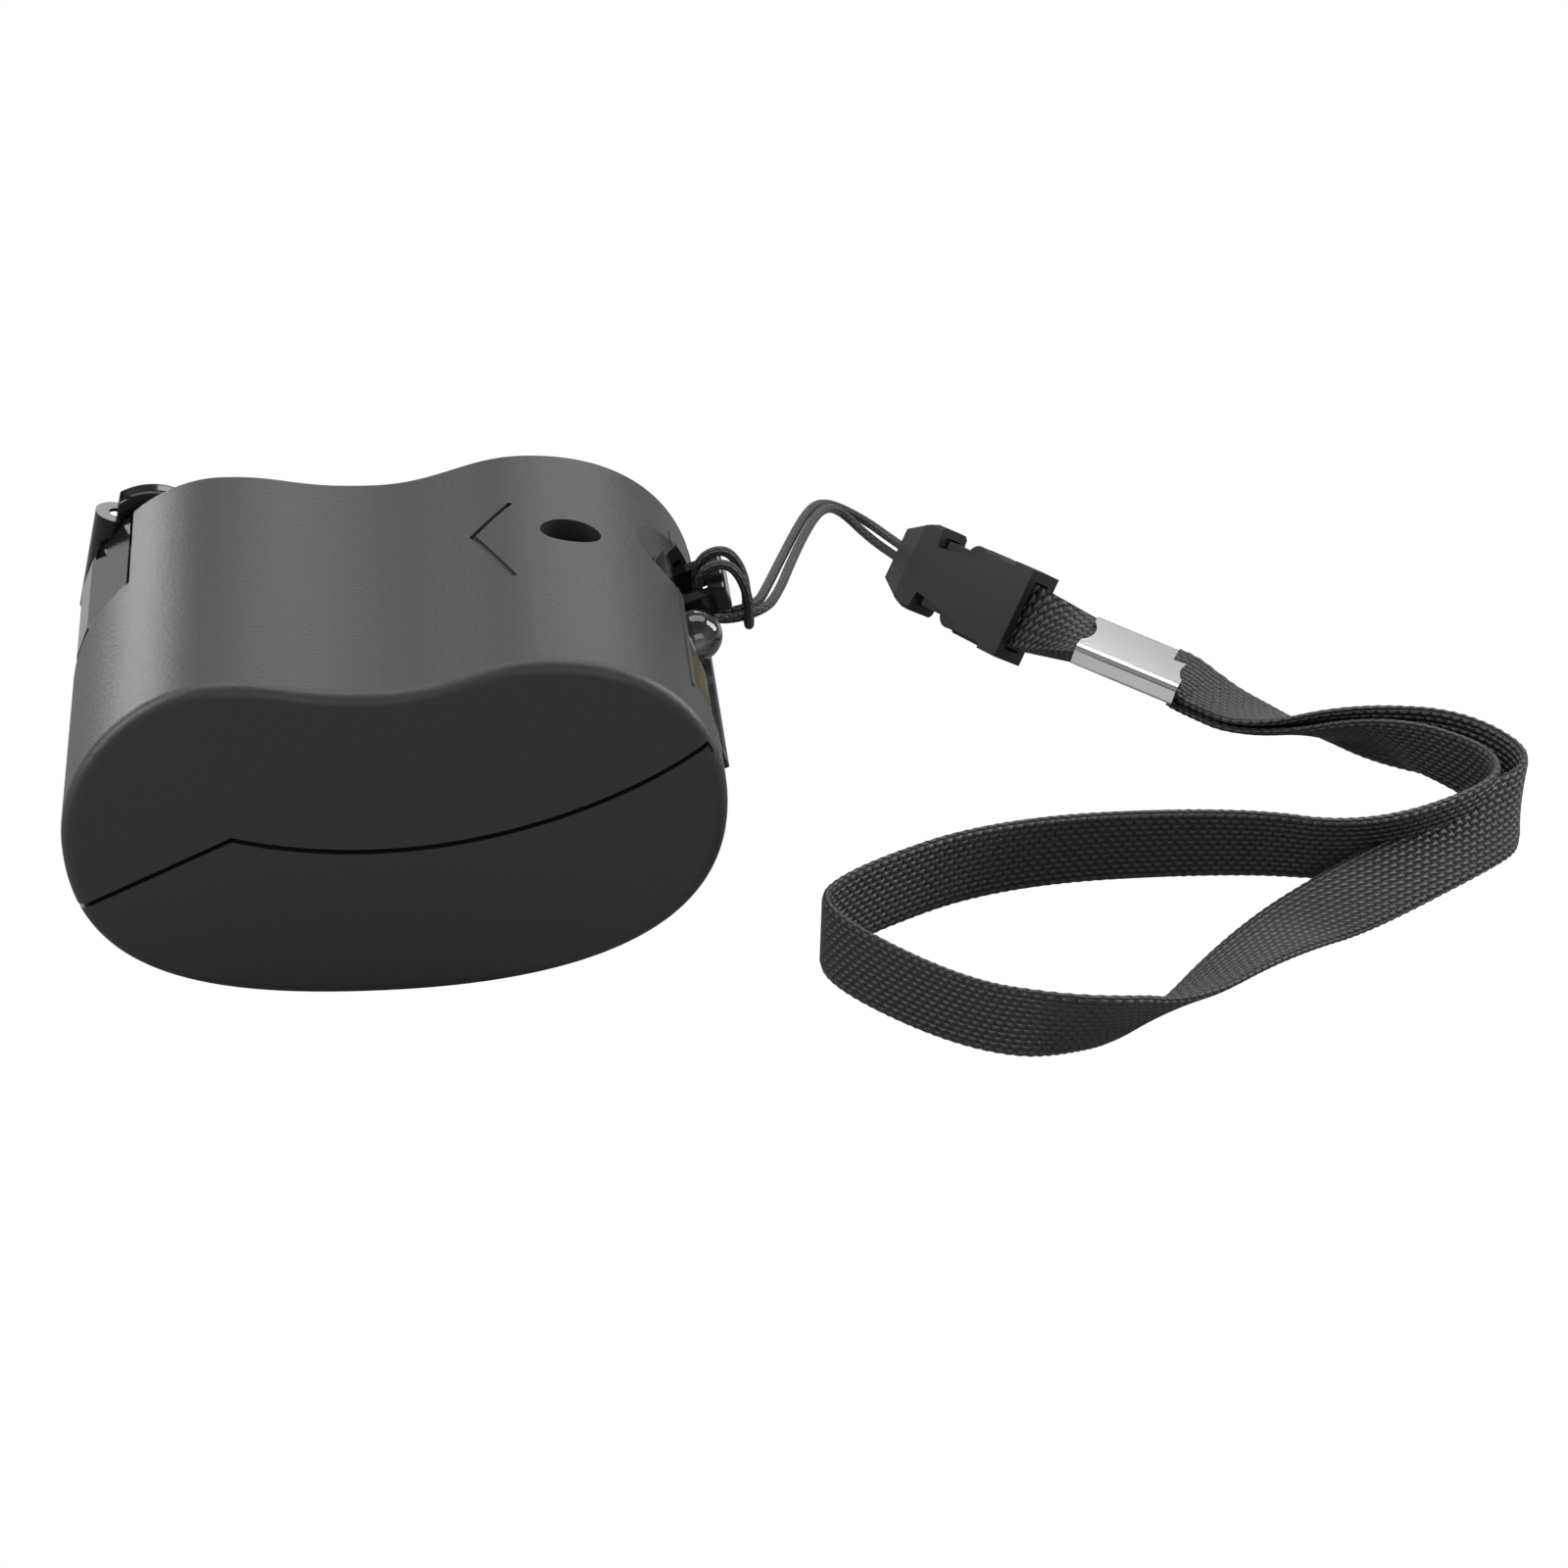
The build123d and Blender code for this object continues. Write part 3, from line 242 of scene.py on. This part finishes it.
class Paint:
    """Turns finishes into materials, one for each slot."""

    def __init__(self) -> None:
        self.groups = ReliefGroups()
        self.made: dict[tuple[str, bool], bpy.types.Material] = {}

    def material(self, slot: str, mapped: bool = False) -> bpy.types.Material:
        """Give the material for a slot.

        Args:
            slot: The record's material slot.
            mapped: Whether its relief reads the UV map rather than Object coordinates.

        Returns:
            The material, made on first use.
        """
        key = (slot, mapped)
        if key not in self.made:
            self.made[key] = self._make(slot, mapped)
        return self.made[key]

    def _make(self, slot: str, mapped: bool) -> bpy.types.Material:
        """Wire up one material."""
        finish = FINISHES[slot]
        material = bpy.data.materials.new(f"{slot}_look")
        material.use_nodes = True
        wiring = Wiring(material.node_tree)
        shader = material.node_tree.nodes["Principled BSDF"]
        shader.inputs["Base Color"].default_value = (*finish.colour, 1.0)
        shader.inputs["Roughness"].default_value = finish.roughness
        shader.inputs["Metallic"].default_value = finish.metallic
        shader.inputs["Transmission Weight"].default_value = finish.transmission
        shader.inputs["Specular IOR Level"].default_value = finish.specular
        if finish.relief is not Relief.NONE:
            self._emboss(wiring, shader, finish, mapped)
        return material

    def _emboss(self, wiring: Wiring, shader: bpy.types.Node, finish: Finish, mapped: bool) -> None:
        """Add a finish's relief to its shader, and on a weave paint shade into the gaps between yarns and a
        highlight onto their crowns.
        """
        woven = finish.relief is Relief.WEAVE
        group = wiring.node("ShaderNodeGroup", node_tree=self.groups.weave if woven else self.groups.grain)
        where = wiring.node("ShaderNodeTexCoord").outputs["UV" if mapped else "Object"]
        wiring.join(where, group.inputs["Vector"])
        group.inputs["Along"].default_value, group.inputs["Across"].default_value = finish.pitch
        bump = wiring.node("ShaderNodeBump")
        bump.inputs["Strength"].default_value = 1.0
        bump.inputs["Distance"].default_value = finish.height
        wiring.join(group.outputs["Height"], bump.inputs["Height"])
        wiring.join(bump.outputs[0], shader.inputs["Normal"])
        # On a weave, painted shade in the gaps and painted highlight on the crowns, both following the
        # relief's height.
        if woven:
            shade_and_highlight_paint = wiring.node("ShaderNodeMix", data_type="RGBA")
            wiring.join(group.outputs["Height"], shade_and_highlight_paint.inputs[0])
            shade_and_highlight_paint.inputs[6].default_value = GAP_SHADE_COLOUR
            shade_and_highlight_paint.inputs[7].default_value = (*(CROWN_HIGHLIGHT_SHARE * c for c in finish.colour), 1.0)
            wiring.join(shade_and_highlight_paint.outputs[2], shader.inputs["Base Color"])


class Route:
    """An open line through given points, read as a quadratic spline."""

    def __init__(self, name: str, points: tuple, detail: int) -> None:
        self.name = name
        self.points = points
        self.detail = detail

    def read(self) -> list[Vector]:
        """Give the spline's own points, evenly spread along each span."""
        data = bpy.data.curves.new(self.name, "CURVE")
        data.dimensions = "3D"
        data.resolution_u = self.detail
        spline = data.splines.new("NURBS")
        spline.points.add(len(self.points) - 1)
        for point, place in zip(spline.points, self.points):
            point.co = (*place, 1.0)
        spline.order_u = 3
        spline.use_endpoint_u = True
        holder = bpy.data.objects.new(self.name, data)
        mesh = bpy.data.meshes.new_from_object(holder)
        line = [vertex.co.copy() for vertex in mesh.vertices]
        bpy.data.meshes.remove(mesh)
        bpy.data.objects.remove(holder)
        bpy.data.curves.remove(data)
        return line


def tangents(line: list[Vector]) -> list[Vector]:
    """Direction of travel at each point of a line."""
    last = len(line) - 1
    return [(line[min(i + 1, last)] - line[max(i - 1, 0)]).normalized() for i in range(last + 1)]


class Sweep:
    """Skins rings of points into a closed mesh with a UV map in metres."""

    def __init__(self, name: str, paint: Paint, slot: str) -> None:
        self.name = name
        self.paint = paint
        self.slot = slot

    def skin(self, rings: list[list[Vector]], along: list[float], round_: list[float]) -> bpy.types.Object:
        """Build the piece.

        Args:
            rings: Points of each cross-section, in order round it.
            along: Distance of each ring from the start.
            round_: Distance of each point round the section, with the full turn as the last item.

        Returns:
            The object, at the origin, with its material.
        """
        mesh = bmesh.new()
        uv = mesh.loops.layers.uv.new("weave")
        grid = [[mesh.verts.new(p) for p in ring] for ring in rings]
        count = len(rings[0])
        for i in range(len(grid) - 1):
            for j in range(count):
                k = (j + 1) % count
                face = mesh.faces.new((grid[i][j], grid[i][k], grid[i + 1][k], grid[i + 1][j]))
                face.smooth = True
                places = ((i, j), (i, j + 1), (i + 1, j + 1), (i + 1, j))
                for loop, (a, b) in zip(face.loops, places):
                    loop[uv].uv = (along[a], round_[b])
        for ring in (grid[0], grid[-1]):
            cap = mesh.faces.new(ring)
            for loop in cap.loops:
                loop[uv].uv = (0.0, 0.0)
        bmesh.ops.recalc_face_normals(mesh, faces=mesh.faces)
        data = bpy.data.meshes.new(self.name)
        mesh.to_mesh(data)
        mesh.free()
        data.materials.append(self.paint.material(self.slot, mapped=True))
        made = bpy.data.objects.new(self.name, data)
        bpy.context.scene.collection.objects.link(made)
        return made


def distances(line: list[Vector]) -> list[float]:
    """Distance along a line at each of its points."""
    total = [0.0]
    for a, b in zip(line, line[1:]):
        total.append(total[-1] + (b - a).length)
    return total


@dataclass
class BraidedCord:
    """One of the two strands of the cord hitched to the charger's eye."""

    name: str
    paint: Paint
    route: tuple
    ends_in: tuple[str, ...]
    radius: float = 0.000475
    sides: int = 16

    def build(self) -> bpy.types.Object:
        line = Route(f"{self.name}_route", self.route, CORD_DETAIL).read()
        ahead = tangents(line)
        side = ahead[0].cross(UP).normalized()
        rings = []
        for point, way in zip(line, ahead):
            side = (side - way * side.dot(way)).normalized()
            up = way.cross(side)
            turns = [2 * math.pi * k / self.sides for k in range(self.sides)]
            rings.append([point + self.radius * (math.cos(a) * side + math.sin(a) * up) for a in turns])
        girth = 2 * math.pi * self.radius
        round_ = [girth * k / self.sides for k in range(self.sides + 1)]
        made = Sweep(self.name, self.paint, "cord_black").skin(rings, distances(line), round_)
        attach(made, "housing")
        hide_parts("lanyard_cord")
        return made


@dataclass
class WovenStrap:
    """The flat wrist strap, with lumpy selvedges."""

    paint: Paint
    width: float = 0.00755
    thick: float = 0.0008
    columns: int = 12
    lump: float = 0.00010
    lump_pitch: float = 0.00102

    def section(self, wide: float) -> list[tuple[float, float]]:
        """Points round the webbing's section, as parts across and through it."""
        half, deep = wide / 2, self.thick / 2
        across = [half * (2 * k / self.columns - 1) for k in range(1, self.columns)]
        top = [(a, deep) for a in across]
        ends = [(half, deep * SELVEDGE_SHARE), (half, -deep * SELVEDGE_SHARE)]
        bottom = [(-a, -deep) for a in across]
        return top + ends + bottom + [(-half, -deep * SELVEDGE_SHARE), (-half, deep * SELVEDGE_SHARE)]

    def build(self) -> bpy.types.Object:
        line = Route("strap_route", tuple(p for p, _ in STRAP_ROUTE), STRAP_DETAIL).read()
        turned = tuple((roll / ROLL_SCALE, 0.0, 0.0) for _, roll in STRAP_ROUTE)
        rolls = Route("strap_roll", turned, STRAP_DETAIL).read()
        along = distances(line)
        rings = []
        for point, way, roll, run in zip(line, tangents(line), rolls, along):
            side = way.cross(UP).normalized()
            up = side.cross(way)
            angle = math.radians(roll.x * ROLL_SCALE)
            across = math.cos(angle) * up + math.sin(angle) * side
            through = way.cross(across)
            wave = math.cos(2 * math.pi * run / self.lump_pitch) - 1
            section = self.section(self.width + self.lump * wave)
            rings.append([point + a * across + t * through for a, t in section])
        flat = self.section(self.width)
        round_ = [0.0]
        for a, b in zip(flat, flat[1:] + flat[:1]):
            round_.append(round_[-1] + math.dist(a, b))
        made = Sweep("woven_strap", self.paint, "webbing_black").skin(rings, along, round_)
        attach(made, "housing")
        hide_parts("wrist_strap")
        return made


@dataclass
class Lamp:
    """One soft light, aimed at a point."""

    name: str
    place: tuple[float, float, float]
    aim: tuple[float, float, float]
    size: tuple[float, float]
    watts: float

    def build(self) -> bpy.types.Object:
        """Place the light and turn it to its aim."""
        data = bpy.data.lights.new(self.name, "AREA")
        data.shape = "RECTANGLE"
        data.size, data.size_y = self.size
        data.energy = self.watts
        made = bpy.data.objects.new(self.name, data)
        made.location = self.place
        made.rotation_euler = (Vector(self.aim) - Vector(self.place)).to_track_quat("-Z", "Y").to_euler()
        made.visible_camera = False
        bpy.context.scene.collection.objects.link(made)
        return made


@dataclass
class Studio:
    """White surroundings, a pale floor, soft lights and the camera."""

    ambient: float = 0.25
    floor_size: float = 1.2

    @staticmethod
    def _apart_for_camera(
        tree: bpy.types.NodeTree,
        seen: bpy.types.NodeSocket,
        other: bpy.types.NodeSocket,
        out: bpy.types.NodeSocket,
    ) -> None:
        """Show one shader to the camera and another to every other ray.

        Args:
            tree: The node tree to add to.
            seen: The shader that camera rays meet.
            other: The shader that all other rays meet.
            out: The tree's surface socket.
        """
        wiring = Wiring(tree)
        mix = wiring.node("ShaderNodeMixShader")
        wiring.join(wiring.node("ShaderNodeLightPath").outputs["Is Camera Ray"], mix.inputs[0])
        wiring.join(other, mix.inputs[1])
        wiring.join(seen, mix.inputs[2])
        wiring.join(mix.outputs[0], out)

    def world(self) -> None:
        """Light the scene from all round."""
        world = bpy.data.worlds.new("studio")
        world.use_nodes = True
        bpy.context.scene.world = world
        nodes = world.node_tree.nodes
        glow = nodes["Background"]
        glow.inputs["Color"].default_value = WHITE
        glow.inputs["Strength"].default_value = self.ambient
        out = nodes["World Output"].inputs["Surface"]
        white = nodes.new("ShaderNodeBackground")
        white.inputs["Color"].default_value = WHITE
        self._apart_for_camera(world.node_tree, white.outputs[0], glow.outputs[0], out)

    def floor(self) -> bpy.types.Object:
        """Lay a plain pale floor just under the charger, which the camera looks through."""
        mesh = bmesh.new()
        bmesh.ops.create_grid(mesh, x_segments=1, y_segments=1, size=self.floor_size)
        bmesh.ops.translate(mesh, verts=mesh.verts, vec=-FLOOR_GAP * UP)
        data = bpy.data.meshes.new("floor")
        mesh.to_mesh(data)
        mesh.free()
        material = bpy.data.materials.new("floor_white")
        material.use_nodes = True
        nodes = material.node_tree.nodes
        shader = nodes["Principled BSDF"]
        shader.inputs["Base Color"].default_value = FLOOR_GREY
        shader.inputs["Roughness"].default_value = 0.8
        out = nodes["Material Output"].inputs["Surface"]
        clear = nodes.new("ShaderNodeBsdfTransparent")
        self._apart_for_camera(material.node_tree, clear.outputs[0], shader.outputs[0], out)
        data.materials.append(material)
        made = bpy.data.objects.new("floor", data)
        bpy.context.scene.collection.objects.link(made)
        return made

    def lamps(self) -> None:
        """Put up the softboxes."""
        for lamp in (
            Lamp("top_box", (0.02, 0.22, 0.60), (0.02, 0.0, 0.01), (0.70, 0.35), 3.0),
            Lamp("left_strip", (-0.46, -0.08, 0.33), (-0.02, 0.0, 0.02), (0.16, 0.40), 2.6),
            Lamp("left_back_card", (-0.45, 0.75, 0.20), (-0.02, 0.0, 0.02), (0.30, 0.20), 2.4),
            Lamp("front_fill", (0.15, -0.60, 0.30), (0.03, 0.0, 0.01), (0.40, 0.25), 1.0),
            Lamp("right_fill", (0.50, 0.10, 0.28), (0.05, 0.0, 0.01), (0.20, 0.40), 3.2),
            Lamp("back_card", (0.22, 0.70, 0.36), (0.07, 0.02, 0.0), (0.40, 0.16), 1.0),
        ):
            lamp.build()

    def camera(self) -> None:
        """Stand the camera where the photo was taken from."""
        data = bpy.data.cameras.new("camera")
        data.lens = 106.0
        data.sensor_width = 36.0
        data.clip_start = 0.01
        made = bpy.data.objects.new("camera", data)
        made.location = (0.00107, -0.38113, 0.22771)
        made.rotation_euler = (math.radians(60.0), 0.0, math.radians(-5.199))
        bpy.context.scene.collection.objects.link(made)
        bpy.context.scene.camera = made

    def build(self) -> None:
        """Set up everything round the charger."""
        self.world()
        self.floor()
        self.lamps()
        self.camera()
        bpy.context.scene.view_settings.view_transform = "Standard"


def paint_nodes(paint: Paint) -> None:
    """Give every CAD node its slot's finish."""
    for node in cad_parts.values():
        slot = node.data.materials[0].name.split(".")[0]
        node.data.materials.clear()
        node.data.materials.append(paint.material(slot))


def main() -> None:
    """Build the charger's looks in order."""
    logging.basicConfig(level=logging.INFO, format="%(message)s")
    paint = Paint()
    paint_nodes(paint)
    LOG.info("painted %d nodes", len(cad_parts))
    near = (EYE_AT, *reversed(CORD_ROUTE[:HALF]))
    far = (EYE_AT, *CORD_ROUTE[HALF:])
    pieces = (
        BraidedCord("cord_near_strand", paint, near, ("buckle_socket", "buckle_plug", "strap_tab")),
        BraidedCord("cord_far_strand", paint, far, ()),
        WovenStrap(paint),
    )
    for piece in pieces:
        made = piece.build()
        LOG.info("built %s with %d faces", made.name, len(made.data.polygons))
    Studio().build()
    LOG.info("set up the studio")


if __name__ == "__main__":
    main()
